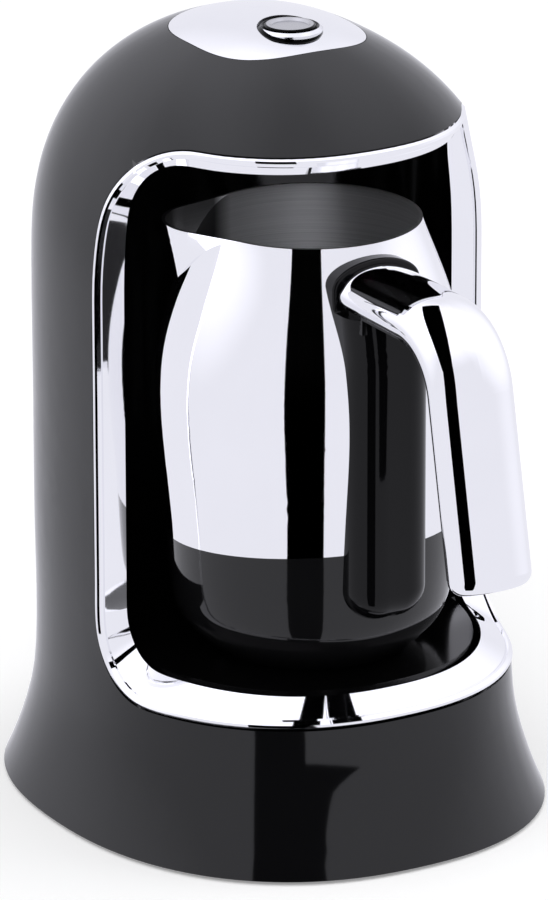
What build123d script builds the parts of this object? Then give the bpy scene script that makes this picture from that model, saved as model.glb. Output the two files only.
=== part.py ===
"""Electric Turkish coffee maker: a domed stand with a bay, and an electric pot that slides into it.

Millimetres, +Z up.  The front, where the pot is drawn out, looks along -Y.  The origin lies on the
table, under the middle of the whole object's bounding box.
"""
import os
from math import asin, cos, pi, radians, sin

from build123d import *

os.makedirs("parts", exist_ok=True)

# ---------------------------------------------------------------- driving dimensions: the stand
wall = 3.0                      # outer moulding
liner_wall = 2.5                # bay moulding
foot_height = 1.5               # the skirt stands this far off the table
waist_half_width = 80.3
waist_half_depth = 92.3
base_half_width = 91.8
base_half_depth = 105.6
flare_top = 50.0                # the skirt starts to flare below this height
flare_power = 1.8
shoulder_height = 196.0         # the dome starts here
dome_height = 289.8
dome_rise_power = 2.49
dome_side_power = 1.88          # seen from the front
dome_depth_power = 2.0          # seen from the side
dome_setback = 6.0              # the dome leans this far towards the back
oval_power = 2.28               # plan outline: between an ellipse (2) and a rounded box
pot_to_body = 27.3              # from the pot's axis back to the middle of the stand
# the bay
bay_edge = 14.5                 # side edges of the opening, behind the pot's axis
opening_bottom = 54.4
opening_headroom = 32.3         # from the top of the opening to the top of the dome
opening_low_radius = 28.0
opening_high_radius = 30.0
trim_width = 12.3               # width of the frame at the sides
trim_setback = 8.0              # the frame's inner edge lies this far behind its outer edge
trim_lip = 0.9                  # thickness of the frame where it laps the shell
trim_thickness = 2.2
bead_width = 2.9
bead_height = 1.0
bay_floor = 64.0
sill_drop = 1.0                 # the frame's sill lies this far under the bay's floor
frame_drop = 6.0                # from the top of the opening down to the bay's ceiling
bay_low_radius = 20.0
bay_high_radius = 24.0
niche_depth = 62.0              # back wall of the bay, behind the pot's axis
niche_corner = 34.0
bay_roof_radius = 17.5           # round upper corners of the bay, seen from the front
# the cap on the dome and its button
cap_half_width = 31.5
cap_half_depth = 34.0
cap_centre = 30.5               # behind the pot's axis
cap_power = 2.8
cap_sheet = 1.5                 # thickness of the cap
cap_ledge = 2.5                 # reach of the ledge that carries it
button_setback = 14.4           # button's centre, behind the pot's axis
bezel_diameter = 23.4
bezel_drop = 0.9                 # the bezel stands below the top of the dome by this much
bezel_depth = 9.0
bezel_floor = 1.5
bezel_chamfer = 1.1
button_diameter = 18.4
button_drop = 0.2
button_travel = 1.2
dish_depth = 0.8
plunger_radius = 2.5
plunger_drop = 3.4              # the plunger reaches this far under the bezel
button_stop_gap = 0.2           # left under the button at full travel
boss_radius = 3.0
boss_setoff = 2.8               # from the bezel out to the bosses' middles
switch_height = 4.3
button_board_gap = 0.05         # between the return dome and what presses on it
# electrics
board_thickness = 1.6
board_half_width = 33.0
board_low = 100.0
board_headroom = 29.5           # from the board's top edge up to the bay's ceiling
board_standoff = 12.0
gland_height = 22.0
gland_neck = 11.0
gland_flange = 16.0
cord_bore = 6.6
plate_thickness = 2.5           # base plate
plate_bottom = 3.5
foot_diameter = 18.0
foot_peg = 6.0
foot_inset_x = 33.8             # from the skirt's lower edge in to the feet
foot_inset_y = 39.6
post_inset = 16.0               # the screw posts stand this far inside the feet
# ---------------------------------------------------------------- driving dimensions: the pot
rim_radius = 39.8
pot_headroom = 28.9             # from the rim up to the bay's ceiling
pot_shoulder_radius = 48.4
pot_shoulder_drop = 23.6        # below the rim
belly_radius = 54.6
belly_drop = 50.6               # below the rim
joint_radius = 51.9
joint_height = 108.1            # steel meets black here, on the pot's axis
joint_slope = 5.5               # and climbs towards the handle, degrees
heel_radius = 50.4
heel_height = 85.0
sole_radius = 36.0
sheet = 1.2                     # steel wall
steel_lap = 14.0                # the wall is doubled this far above the joint
pot_floor = 90.0                # inside bottom of the steel pot
housing_wall = 2.2
housing_bottom = 2.5
tower_radius = 4.8
spout_reach = 52.8
spout_root = 47.6               # reach at the beak's lower end
spout_turn = 115.0              # from the handle to the spout, degrees
spout_drop = 22.4               # the beak starts this far below the rim
spout_root_radius = 4.0
spout_lip_radius = 20.0         # the beak is broad at the rim
spout_blend = 0.3               # its sides leave the rim this far inside it
stud_circle = 31.0
stud_length = 4.0
heater_plate = 3.0
heater_radius = 26.5
element_ring = 19.5
element_radius = 3.0
# handle
handle_width = 32.0
handle_thickness = 15.0
handle_crown = 9.5              # height of the round outer side
handle_corner = 5.2
arm_drop = 12.7                 # from the rim down to the middle of the arm
arm_start = 46.5                # the bright cover starts here, in front of the pot's axis
arm_length = 84.6               # from the pot's axis to the start of the bend
bend_radius = 27.0
grip_lean = 12.0                # degrees off the vertical
grip_length = 69.0
grip_end_radius = 5.0
cover_wall = 1.6
spine_width = 31.0
spine_reach = 62.0
spine_foot = 88.0
spine_round = 11.0
spine_waist = 22.0               # the spine widens into the collar over this height
foot_round = 12.0
collar_width = 35.4
collar_edge = 1.2
collar_rim = 1.7                 # the collar stands this far above the bright cover
core_face = 0.4                  # the black core stands back this far in the cover
strap_width = 12.0
strap_sheet = 1.5
strap_low = 101.0
strap_headroom = 7.2            # from the strap's upper end to the top of the spine
strap_tab_height = 10.0
lug_height = 7.0
handle_screw_reach = 55.5        # screw's distance from the pot's axis
handle_screw_seat = 95.0
# coupling between pot and stand
coupling_height = 79.0
coupling_half_width = 13.0
coupling_half_height = 5.6
blade_spacing = 8.0
blade_thickness = 1.5
blade_height = 6.0
blade_reach = 12.0              # how far the blades stand out of their block
plug_face = 52.0                # behind the pot's axis
socket_face = 48.5
socket_depth = 13.0
clip_sheet = 0.5
clip_length = 10.0
# ---------------------------------------------------------------- clearances
seam = 0.25                     # between mouldings of one body
running = 0.3                   # between the pot and the bay
snug = 0.15                     # black mouldings lie this close to the steel
slip = 0.12                     # sliding fit, on the radius
hair = 0.02                     # screw in its hole, on the radius
screw_radius = 1.5
screw_head_radius = 3.0
screw_head_height = 2.0
far = 400.0                     # longer than anything, for cutting tools

# ---------------------------------------------------------------- levels that follow from these
opening_top = dome_height - opening_headroom
bay_ceiling = opening_top - frame_drop
rim_height = bay_ceiling - pot_headroom
pot_shoulder_height = rim_height - pot_shoulder_drop
belly_height = rim_height - belly_drop
arm_height = rim_height - arm_drop
spine_top = arm_height - handle_thickness / 2 - snug
strap_high = spine_top - strap_headroom
board_high = bay_ceiling - board_headroom
bezel_top = dome_height - bezel_drop
button_top = dome_height - button_drop
foot_spread_x = base_half_width - foot_inset_x
foot_spread_y = base_half_depth - foot_inset_y

# the grip's outermost face sets the front of the bounding box, the skirt sets the back
lean = radians(grip_lean)
handle_reach = (arm_length + bend_radius * cos(lean) + (grip_length - grip_end_radius) * sin(lean)
                + (handle_thickness / 2 - grip_end_radius) * cos(lean) + grip_end_radius)
pot_y = (handle_reach - pot_to_body - base_half_depth) / 2
body_y = pot_y + pot_to_body
edge_y = pot_y + bay_edge
niche_y = pot_y + niche_depth
cap_y = pot_y + cap_centre
button_y = pot_y + button_setback


# ---------------------------------------------------------------- the stand's outer form
def dome_profile(height, top, power):
    """Share of the waist that is left at a height in the dome."""
    climb = max(0.0, (height - shoulder_height) / (top - shoulder_height))
    return (1 - min(1.0, climb) ** dome_rise_power) ** (1 / power)


def flare(height):
    return (max(0.0, flare_top - height) / (flare_top - foot_height)) ** flare_power


def body_half_width(height, inset=0.0):
    waist = (waist_half_width - inset) * dome_profile(height, dome_height - inset, dome_side_power)
    return waist + (base_half_width - waist_half_width) * flare(height)


def body_half_depth(height, inset=0.0):
    waist = (waist_half_depth - inset) * dome_profile(height, dome_height - inset, dome_depth_power)
    return waist + (base_half_depth - waist_half_depth) * flare(height)


def body_centre(height):
    climb = max(0.0, (height - shoulder_height) / (dome_height - shoulder_height))
    return body_y + dome_setback * climb ** 2


def trim_inner_half_width(height):
    top = dome_height + 1.5 * trim_width
    return (waist_half_width - trim_width) * dome_profile(height, top, dome_side_power)


def trim_inner_half_depth(height):
    return body_half_depth(height) - trim_setback


def oval(half_width, half_depth, centre_y, power=oval_power, count=24):
    """A closed superellipse, as a sketch bounded by one smooth periodic curve."""
    points = []
    for step in range(count):
        angle = 2 * pi * step / count
        across, along = cos(angle), sin(angle)
        x = half_width * abs(across) ** (2 / power) * (1 if across >= 0 else -1)
        y = half_depth * abs(along) ** (2 / power) * (1 if along >= 0 else -1)
        points.append((x, centre_y + y))
    with BuildSketch() as outline:
        with BuildLine():
            Spline(*points, periodic=True)
        make_face()
    return outline.sketch


def body_heights(inset=0.0):
    """Heights of the sections, closer together where the form curves."""
    skirt = [foot_height + (flare_top - foot_height) * share for share in (0, 0.2, 0.45, 0.75, 1)]
    waist = [flare_top + (shoulder_height - flare_top) * share for share in (0.3, 0.65, 1)]
    rise = dome_height - inset - shoulder_height
    dome = [shoulder_height + rise * sin(radians(angle)) for angle in (16, 31, 43, 54, 64, 73, 80, 86)]
    return skirt + waist + dome


def body_solid(inset=0.0):
    with BuildPart() as solid:
        for height in body_heights(inset):
            with BuildSketch(Plane.XY.offset(height)):
                add(oval(body_half_width(height, inset), body_half_depth(height, inset),
                         body_centre(height)))
        loft()
    return solid.part


def side_opening(edge, low, high, low_radius, high_radius):
    """Side view of the opening: open to the front, rounded where it meets its upright edge."""
    with BuildSketch() as outline:
        with BuildLine():
            Polyline((-far, low), (edge, low), (edge, high), (-far, high), close=True)
        make_face()
        corners = outline.vertices().sort_by(Axis.X)[-2:].sort_by(Axis.Y)
        fillet(corners[0], low_radius)
        corners = outline.vertices().sort_by(Axis.Y)[-2:].sort_by(Axis.X)
        fillet(corners[-1], high_radius)
    return outline.sketch


outer_form = body_solid()
inner_form = body_solid(wall)
cap_under_form = body_solid(cap_sheet)
cap_middle_form = body_solid(cap_sheet / 2)

# ---------------------------------------------------------------- outer shell
with BuildPart() as crown_hole:
    with BuildSketch(Plane.XY.offset(shoulder_height)):
        add(oval(cap_half_width + seam, cap_half_depth + seam, cap_y, cap_power))
    extrude(amount=far / 2)

with BuildPart() as crown_core:
    add(crown_hole.part)
    add(cap_under_form, mode=Mode.INTERSECT)

with BuildPart() as outer_shell:
    add(outer_form)
    # the crown steps down by the thickness of the cap, and leaves a ledge that carries it
    add(crown_hole.part, mode=Mode.SUBTRACT)
    add(crown_core.part)
    add(inner_form, mode=Mode.SUBTRACT)
    with BuildSketch(Plane.XY.offset(shoulder_height)):
        add(oval(cap_half_width - cap_ledge, cap_half_depth - cap_ledge, cap_y, cap_power))
    extrude(amount=far / 2, mode=Mode.SUBTRACT)
    # the bay opening runs right across the front
    with BuildSketch(Plane.YZ):
        add(side_opening(edge_y + trim_lip + seam, opening_bottom - trim_lip - seam,
                         opening_top + trim_lip, opening_low_radius, opening_high_radius))
    extrude(amount=far / 2, both=True, mode=Mode.SUBTRACT)
    # cord entry at the back
    with BuildSketch(Plane.XZ.offset(-body_y)):
        with Locations((0, gland_height)):
            Circle(gland_neck / 2 + hair)
    extrude(amount=-far, mode=Mode.SUBTRACT)
outer_shell.part.label = "outer_shell"
export_step(outer_shell.part, "parts/outer_shell.step")


# ---------------------------------------------------------------- frame round the opening
# stations of the frame, about evenly spaced, so that its faces stay fair; the front's first two lie
# beyond the middle, where the frame is mirrored
front_steps, bend_steps, leg_steps = 8, 6, 16
front_shares = [step / front_steps for step in range(-2, front_steps)]
bend_turns = [pi / 2 * step / bend_steps for step in range(bend_steps + 1)]
leg_shares = [step / leg_steps for step in range(1, leg_steps)]


def frame_edge(edge, low, high, low_radius, high_radius, half_width, half_depth):
    """Points along one edge of the frame on its +X side: round the foot, up the leg, round the top."""
    def on_side(y, height):
        share = abs(body_centre(height) - y) / half_depth(height)
        return Vector(half_width(height) * (1 - share ** oval_power) ** (1 / oval_power), y, height)

    def on_front(share, height, bend_y):
        end = asin(((body_centre(height) - bend_y) / half_depth(height)) ** (oval_power / 2))
        angle = pi / 2 + share * (end - pi / 2)
        across = cos(angle)
        x = half_width(height) * abs(across) ** (2 / oval_power) * (1 if across >= 0 else -1)
        return Vector(x, body_centre(height) - half_depth(height) * sin(angle) ** (2 / oval_power), height)

    points = [on_front(share, low, edge - low_radius) for share in front_shares]
    for turn in bend_turns:
        points.append(on_side(edge - low_radius * (1 - sin(turn)), low + low_radius * (1 - cos(turn))))
    leg_low, leg_high = low + low_radius, high - high_radius
    for share in leg_shares:
        points.append(on_side(edge, leg_low + share * (leg_high - leg_low)))
    for turn in reversed(bend_turns):
        points.append(on_side(edge - high_radius * (1 - sin(turn)), high - high_radius * (1 - cos(turn))))
    points += [on_front(share, high, edge - high_radius) for share in reversed(front_shares)]
    return points


outer_edge = frame_edge(edge_y, opening_bottom, opening_top, opening_low_radius, opening_high_radius,
                        body_half_width, body_half_depth)
inner_edge = frame_edge(edge_y, bay_floor - sill_drop, bay_ceiling, bay_low_radius, bay_high_radius,
                        trim_inner_half_width, trim_inner_half_depth)


def trim_profile(width):
    """Cross-section of the frame: from its outer edge inwards, with a bead along the outer edge."""
    web = bead_width + 1
    return [(0, -trim_lip), (0, bead_height / 2), (bead_width / 4, bead_height),
            (bead_width * 0.8, bead_height), (bead_width, -trim_lip / 4),
            (bead_width + 0.5, trim_lip / 3), (width, 0), (width, -trim_thickness),
            (web, -trim_thickness), (web, -trim_lip)]


with BuildPart() as trim_ring:
    last = len(outer_edge) - 1
    for index, (start, end) in enumerate(zip(outer_edge, inner_edge)):
        run = outer_edge[min(index + 1, last)] - outer_edge[max(index - 1, 0)]
        across = end - start
        along = across.cross(run.cross(across))
        with BuildSketch(Plane(start, x_dir=across, z_dir=along)):
            with BuildLine():
                Polyline(*trim_profile(across.length), close=True)
            make_face()
    loft()
    split(bisect_by=Plane.YZ, keep=Keep.TOP)
    mirror(about=Plane.YZ)
trim_ring.part.label = "trim_ring"
export_step(trim_ring.part, "parts/trim_ring.step")


# ---------------------------------------------------------------- bay liner
def niche_plan(grow):
    """Plan of the bay: open to the front, with a flat back wall and round back corners."""
    half_width = waist_half_width - trim_width + grow
    with BuildSketch() as plan:
        with BuildLine():
            Polyline((-half_width, -far / 4), (half_width, -far / 4), (half_width, niche_y + grow),
                     (-half_width, niche_y + grow), close=True)
        make_face()
        fillet(plan.vertices().group_by(Axis.Y)[-1], niche_corner + grow)
    return plan.sketch


def bay_slab(height):
    """Plan of the front part of the bay's floor or ceiling: it ends inside the frame."""
    with BuildSketch() as slab:
        add(oval(trim_inner_half_width(height) - web_gap, trim_inner_half_depth(height) - web_gap,
                 body_centre(height)))
        with Locations((0, edge_y + 2 * web_gap)):
            Rectangle(far, far, align=(Align.CENTER, Align.MAX), mode=Mode.INTERSECT)
    return slab.sketch


def bay_block(grow):
    """The bay's room as a solid: niche plan by a front view with round upper corners."""
    half_width = waist_half_width - trim_width + grow
    with BuildPart() as block:
        with BuildSketch(Plane.XY.offset(bay_floor - grow)):
            add(niche_plan(grow))
        extrude(amount=bay_ceiling - bay_floor + 2 * grow)
        with BuildSketch(Plane.XZ):
            with Locations((0, bay_ceiling + grow)):
                room = Rectangle(2 * half_width, far, align=(Align.CENTER, Align.MAX))
            fillet(room.vertices().group_by(Axis.Y)[-1], bay_roof_radius + grow)
        extrude(amount=far / 2, both=True, mode=Mode.INTERSECT)
    return block.part


web_gap = trim_thickness + 2 * seam
standoffs = [(x, z) for x in (-board_half_width + 6, board_half_width - 6)
             for z in (board_low + 6, board_high - 6)]
posts = [(side * (foot_spread_x - post_inset), body_y + y) for side in (-1, 1)
         for y in (post_inset - 2 - foot_spread_y, 0)]
with BuildPart() as bay_liner:
    add(bay_block(liner_wall))
    add(bay_block(0), mode=Mode.SUBTRACT)
    # the side walls end behind the frame, and follow its rounded corners
    with BuildSketch(Plane.YZ):
        add(side_opening(edge_y + web_gap, bay_floor - 2 * web_gap, bay_ceiling + 2 * web_gap,
                         bay_low_radius + 2 * web_gap, bay_high_radius + 2 * web_gap))
    extrude(amount=far / 2, both=True, mode=Mode.SUBTRACT)
    with BuildSketch(Plane.XY.offset(bay_floor - liner_wall)):
        add(bay_slab(bay_floor))
    extrude(amount=liner_wall)
    with BuildSketch(Plane.XY.offset(bay_ceiling)):
        add(bay_slab(bay_ceiling + liner_wall))
    extrude(amount=liner_wall)
    # posts down to the base plate, with screw holes
    post_top = bay_floor - liner_wall
    plate_top = plate_bottom + plate_thickness
    with BuildSketch(Plane.XY.offset(plate_top)):
        with Locations(*posts):
            Circle(4.5)
    extrude(amount=post_top - plate_top + 0.5)
    # standoffs for the control board
    with BuildSketch(Plane.XZ.offset(-(niche_y + liner_wall / 2))):
        with Locations(*standoffs):
            Circle(3.5)
    extrude(amount=-(board_standoff + liner_wall / 2))
    # windows: coupling in the back wall, sensor in the ceiling
    with BuildSketch(Plane.XZ.offset(-niche_y + 1)):
        with Locations((0, coupling_height)):
            Rectangle(2 * (coupling_half_width + seam), 2 * (coupling_half_height + seam))
    extrude(amount=-(liner_wall + 2), mode=Mode.SUBTRACT)
    with BuildSketch(Plane.XY.offset(bay_ceiling - 1)):
        with Locations((0, pot_y)):
            Circle(6)
    extrude(amount=liner_wall + 2, mode=Mode.SUBTRACT)
    # screw holes
    with BuildSketch(Plane.XY.offset(plate_top)):
        with Locations(*posts):
            Circle(screw_radius + hair)
    extrude(amount=14, mode=Mode.SUBTRACT)
    with BuildSketch(Plane.XZ.offset(-(niche_y + liner_wall + board_standoff))):
        with Locations(*standoffs):
            Circle(screw_radius + hair)
    extrude(amount=8, mode=Mode.SUBTRACT)
bay_liner.part.label = "bay_liner"
export_step(bay_liner.part, "parts/bay_liner.step")

# ---------------------------------------------------------------- cap on the crown, with the button
bezel_bottom = bezel_top - bezel_depth
plunger_bottom = bezel_bottom - plunger_drop
switch_top = plunger_bottom - button_travel - button_board_gap
button_board_top = switch_top - switch_height
boss_places = [(side * (bezel_diameter / 2 + boss_setoff), button_y) for side in (-1, 1)]
# bosses for the button board reach up into the cap
with BuildPart() as cap_bosses:
    with BuildSketch(Plane.XY.offset(button_board_top)):
        with Locations(*boss_places):
            Circle(boss_radius)
    extrude(amount=far / 2)
    add(cap_middle_form, mode=Mode.INTERSECT)

with BuildPart() as top_plate:
    with BuildSketch(Plane.XY.offset(shoulder_height)):
        add(oval(cap_half_width, cap_half_depth, cap_y, cap_power))
    extrude(amount=far / 2)
    add(outer_form, mode=Mode.INTERSECT)
    add(cap_under_form, mode=Mode.SUBTRACT)
    add(cap_bosses.part)
    # hole for the bezel, screw holes
    with BuildSketch(Plane.XY.offset(shoulder_height)):
        with Locations((0, button_y)):
            Circle(bezel_diameter / 2 + hair)
    extrude(amount=far, mode=Mode.SUBTRACT)
    with BuildSketch(Plane.XY.offset(button_board_top)):
        with Locations(*boss_places):
            Circle(screw_radius + hair)
    extrude(amount=6, mode=Mode.SUBTRACT)
top_plate.part.label = "top_plate"
export_step(top_plate.part, "parts/top_plate.step")

with BuildPart() as button_bezel:
    with BuildSketch(Plane.XY.offset(bezel_bottom)):
        with Locations((0, button_y)):
            Circle(bezel_diameter / 2)
            Circle(button_diameter / 2 + slip, mode=Mode.SUBTRACT)
    extrude(amount=bezel_depth)
    chamfer(button_bezel.edges().filter_by(GeomType.CIRCLE).group_by(Axis.Z)[-1], bezel_chamfer)
    # floor that stops the button, with a hole for its plunger
    with BuildSketch(Plane.XY.offset(bezel_bottom)):
        with Locations((0, button_y)):
            Circle(button_diameter / 2 + 1)
            Circle(plunger_radius + slip, mode=Mode.SUBTRACT)
    extrude(amount=bezel_floor)
button_bezel.part.label = "button_bezel"
export_step(button_bezel.part, "parts/button_bezel.step")

cap_thickness = button_top - (bezel_bottom + bezel_floor) - button_travel - button_stop_gap
with BuildPart() as button_cap:
    with BuildSketch(Plane.XY.offset(button_top - cap_thickness)):
        with Locations((0, button_y)):
            Circle(button_diameter / 2)
    extrude(amount=cap_thickness)
    fillet(button_cap.edges().group_by(Axis.Z)[-1], 0.8)
    # finger dish
    with BuildSketch(Plane.XY.offset(button_top - dish_depth)):
        with Locations((0, button_y)):
            Circle(button_diameter / 2 - 2.6)
    extrude(amount=dish_depth, taper=-45, mode=Mode.SUBTRACT)
    # plunger
    with BuildSketch(Plane.XY.offset(plunger_bottom)):
        with Locations((0, button_y)):
            Circle(plunger_radius)
    extrude(amount=button_top - cap_thickness - plunger_bottom + 0.5)
button_cap.part.label = "button_cap"
export_step(button_cap.part, "parts/button_cap.step")

with BuildPart() as button_board:
    with BuildSketch(Plane.XY.offset(button_board_top - board_thickness)):
        with Locations((0, button_y)):
            RectangleRounded(38, 22, 2)
        with Locations(*boss_places):
            Circle(screw_radius + hair, mode=Mode.SUBTRACT)
    extrude(amount=board_thickness)
button_board.part.label = "button_board"
export_step(button_board.part, "parts/button_board.step")

with BuildPart() as tact_switch:
    with BuildSketch(Plane.XY.offset(button_board_top)):
        with Locations((0, button_y)):
            Rectangle(6, 6)
    extrude(amount=switch_top - 0.8 - button_board_top)
    with BuildSketch(Plane.XY.offset(switch_top - 0.8)):
        with Locations((0, button_y)):
            Circle(1.7)
    extrude(amount=0.8)
tact_switch.part.label = "tact_switch"
export_step(tact_switch.part, "parts/tact_switch.step")

# rubber dome that lifts the button again
with BuildPart() as return_dome:
    with BuildSketch(Plane.XZ.offset(-button_y)):
        with BuildLine():
            Polyline((6.4, button_board_top), (7.4, button_board_top), (7.4, button_board_top + 0.8),
                     (plunger_radius + 1.2, plunger_bottom - button_board_gap),
                     (0, plunger_bottom - button_board_gap),
                     (0, plunger_bottom - 0.7), (plunger_radius + 0.8, plunger_bottom - 0.7), close=True)
        make_face()
    revolve(axis=Axis((0, button_y, 0), (0, 0, 1)))
return_dome.part.label = "return_dome"
export_step(return_dome.part, "parts/return_dome.step")

with BuildPart() as button_board_screws:
    with BuildSketch(Plane.XY.offset(button_board_top - board_thickness - screw_head_height)):
        with Locations(*boss_places):
            Circle(screw_head_radius)
    extrude(amount=screw_head_height)
    with BuildSketch(Plane.XY.offset(button_board_top - board_thickness)):
        with Locations(*boss_places):
            Circle(screw_radius)
    extrude(amount=board_thickness + 5)
button_board_screws.part.label = "button_board_screws"
export_step(button_board_screws.part, "parts/button_board_screws.step")

# ---------------------------------------------------------------- base plate, feet and screws
with BuildPart() as base_plate:
    with BuildSketch(Plane.XY.offset(plate_bottom)):
        inset = wall + seam
        add(oval(body_half_width(plate_top) - inset, body_half_depth(plate_top) - inset, body_y))
        with Locations(*posts):
            Circle(screw_radius + hair, mode=Mode.SUBTRACT)
        with GridLocations(2 * foot_spread_x, 2 * foot_spread_y, 2, 2) as grid:
            foot_places = [(place.position.X, place.position.Y + body_y) for place in grid.locations]
        with Locations(*foot_places):
            Circle(foot_peg / 2 + hair, mode=Mode.SUBTRACT)
    extrude(amount=plate_thickness)
    # vents under the electrics
    with BuildSketch(Plane.XY.offset(plate_bottom)):
        with Locations((0, body_y + 35)):
            with GridLocations(9, 1, 7, 1):
                SlotOverall(26, 3, rotation=90)
    extrude(amount=plate_thickness, mode=Mode.SUBTRACT)
base_plate.part.label = "base_plate"
export_step(base_plate.part, "parts/base_plate.step")

with BuildPart() as rubber_feet:
    with BuildSketch():
        with Locations(*foot_places):
            Circle(foot_diameter / 2)
    extrude(amount=plate_bottom)
    chamfer(rubber_feet.edges().filter_by(GeomType.CIRCLE).group_by(Axis.Z)[0], 0.6)
    with BuildSketch(Plane.XY.offset(plate_bottom)):
        with Locations(*foot_places):
            Circle(foot_peg / 2)
    extrude(amount=plate_thickness + 1)
rubber_feet.part.label = "rubber_feet"
export_step(rubber_feet.part, "parts/rubber_feet.step")


def screws(name, plane, places, length):
    """Pan-head screws: head under the plane, shank along its normal."""
    with BuildPart() as group:
        with BuildSketch(plane.offset(-screw_head_height)):
            with Locations(*places):
                Circle(screw_head_radius)
        extrude(amount=screw_head_height)
        with BuildSketch(plane):
            with Locations(*places):
                Circle(screw_radius)
        extrude(amount=length)
    group.part.label = name
    export_step(group.part, f"parts/{name}.step")


screws("base_screws", Plane.XY.offset(plate_bottom), posts, plate_thickness + 12)

# ---------------------------------------------------------------- mains entry
with BuildPart() as cord_gland:
    rear = body_y + body_half_depth(gland_height)
    with BuildSketch(Plane.XZ.offset(-(rear - wall - 3))):
        with Locations((0, gland_height)):
            Circle(gland_flange / 2)
    extrude(amount=-(wall + 5.5))
    with BuildSketch(Plane.XZ.offset(-(rear - wall - 12))):
        with Locations((0, gland_height)):
            Circle(far)
            Circle(gland_neck / 2, mode=Mode.SUBTRACT)
    collar = extrude(amount=-far, mode=Mode.PRIVATE)
    add(collar & outer_shell.part, mode=Mode.SUBTRACT)
    with BuildSketch(Plane.XZ.offset(-(rear - wall - 20))):
        with Locations((0, gland_height)):
            Circle(cord_bore / 2)
    extrude(amount=-40, mode=Mode.SUBTRACT)
cord_gland.part.label = "cord_gland"
export_step(cord_gland.part, "parts/cord_gland.step")

with BuildPart() as terminal_block:
    with BuildSketch(Plane.XY.offset(plate_top)):
        with Locations((0, body_y + 68)):
            Rectangle(33, 17)
    extrude(amount=13)
    with BuildSketch(Plane.XY.offset(plate_top + 13)):
        with Locations((0, body_y + 68)):
            with GridLocations(11, 9, 3, 2):
                Circle(2.2)
    extrude(amount=-4, mode=Mode.SUBTRACT)
terminal_block.part.label = "terminal_block"
export_step(terminal_block.part, "parts/terminal_block.step")

# ---------------------------------------------------------------- control board behind the bay
board_front = niche_y + liner_wall + board_standoff
board_back = board_front + board_thickness
board_plane = Plane.XZ.offset(-board_front)
board_middle = (board_low + board_high) / 2
with BuildPart() as control_board:
    with BuildSketch(board_plane):
        with Locations((0, board_middle)):
            Rectangle(2 * board_half_width, board_high - board_low)
        with Locations(*standoffs):
            Circle(screw_radius + hair, mode=Mode.SUBTRACT)
    extrude(amount=-board_thickness)
control_board.part.label = "control_board"
export_step(control_board.part, "parts/control_board.step")

rear_plane = Plane((0, board_back, 0), x_dir=(-1, 0, 0), z_dir=(0, 1, 0))
screws("board_screws", Plane((0, board_back, 0), x_dir=(1, 0, 0), z_dir=(0, -1, 0)),
       standoffs, board_thickness + 7)

with BuildPart() as transformer:
    with BuildSketch(rear_plane):
        with Locations((0, board_high - 30)):
            Rectangle(32, 27)
    extrude(amount=9)
    with BuildSketch(rear_plane.offset(9)):
        with Locations((0, board_high - 30)):
            Rectangle(26, 21)
    extrude(amount=13)
    chamfer(transformer.edges().group_by(Axis.Y)[-1], 1.5)
transformer.part.label = "transformer"
export_step(transformer.part, "parts/transformer.step")

with BuildPart() as relay:
    with BuildSketch(rear_plane):
        with Locations((12, board_middle - 12)):
            Rectangle(19, 15.5)
    extrude(amount=15.5)
    fillet(relay.edges().filter_by(Axis.Y), 1)
relay.part.label = "relay"
export_step(relay.part, "parts/relay.step")

with BuildPart() as capacitors:
    with BuildSketch(rear_plane):
        with Locations((-12, board_middle - 4), (-12, board_middle - 20)):
            Circle(6)
    extrude(amount=16)
    chamfer(capacitors.edges().filter_by(GeomType.CIRCLE).group_by(Axis.Y)[-1], 0.8)
capacitors.part.label = "capacitors"
export_step(capacitors.part, "parts/capacitors.step")

with BuildPart() as buzzer:
    with BuildSketch(rear_plane):
        with Locations((0, board_low + 20)):
            Circle(6)
    extrude(amount=8.5)
    with BuildSketch(rear_plane.offset(8.5)):
        with Locations((0, board_low + 20)):
            Circle(1)
    extrude(amount=-2, mode=Mode.SUBTRACT)
buzzer.part.label = "buzzer"
export_step(buzzer.part, "parts/buzzer.step")

# ---------------------------------------------------------------- foam sensor in the bay's ceiling
with BuildPart() as sensor_window:
    with BuildSketch(Plane.XY.offset(bay_ceiling)):
        with Locations((0, pot_y)):
            Circle(6 - hair)
    extrude(amount=liner_wall)
    with BuildSketch(Plane.XY.offset(bay_ceiling + liner_wall)):
        with Locations((0, pot_y)):
            Circle(8)
    extrude(amount=1.2)
sensor_window.part.label = "sensor_window"
export_step(sensor_window.part, "parts/sensor_window.step")

with BuildPart() as foam_sensor:
    sensor_seat = bay_ceiling + liner_wall + 1.2
    with BuildSketch(Plane.XY.offset(sensor_seat)):
        with Locations((0, pot_y)):
            Circle(4.6)
    extrude(amount=4)
    with BuildSketch(Plane.XY.offset(sensor_seat + 4)):
        with Locations((0, pot_y)):
            Rectangle(16, 12)
    extrude(amount=board_thickness)
foam_sensor.part.label = "foam_sensor"
export_step(foam_sensor.part, "parts/foam_sensor.step")

# ---------------------------------------------------------------- coupling, stand side
blade_places = [(shift * blade_spacing, coupling_height) for shift in (-1, 0, 1)]
with BuildPart() as bay_plug:
    with BuildSketch(Plane.XZ.offset(-(pot_y + plug_face))):
        with Locations((0, coupling_height)):
            RectangleRounded(2 * coupling_half_width, 2 * coupling_half_height, 1.5)
    extrude(amount=-(niche_depth + liner_wall + 6 - plug_face))
    with BuildSketch(Plane.XZ.offset(-(niche_y + liner_wall))):
        with Locations((0, coupling_height)):
            Rectangle(2 * coupling_half_width + 10, 2 * coupling_half_height + 8)
    extrude(amount=-3)
    with BuildSketch(Plane.XZ.offset(-(pot_y + plug_face - 1))):
        with Locations(*blade_places):
            Rectangle(blade_thickness + 2 * hair, blade_height + 2 * hair)
    extrude(amount=-far, mode=Mode.SUBTRACT)
bay_plug.part.label = "bay_plug"
export_step(bay_plug.part, "parts/bay_plug.step")

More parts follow.
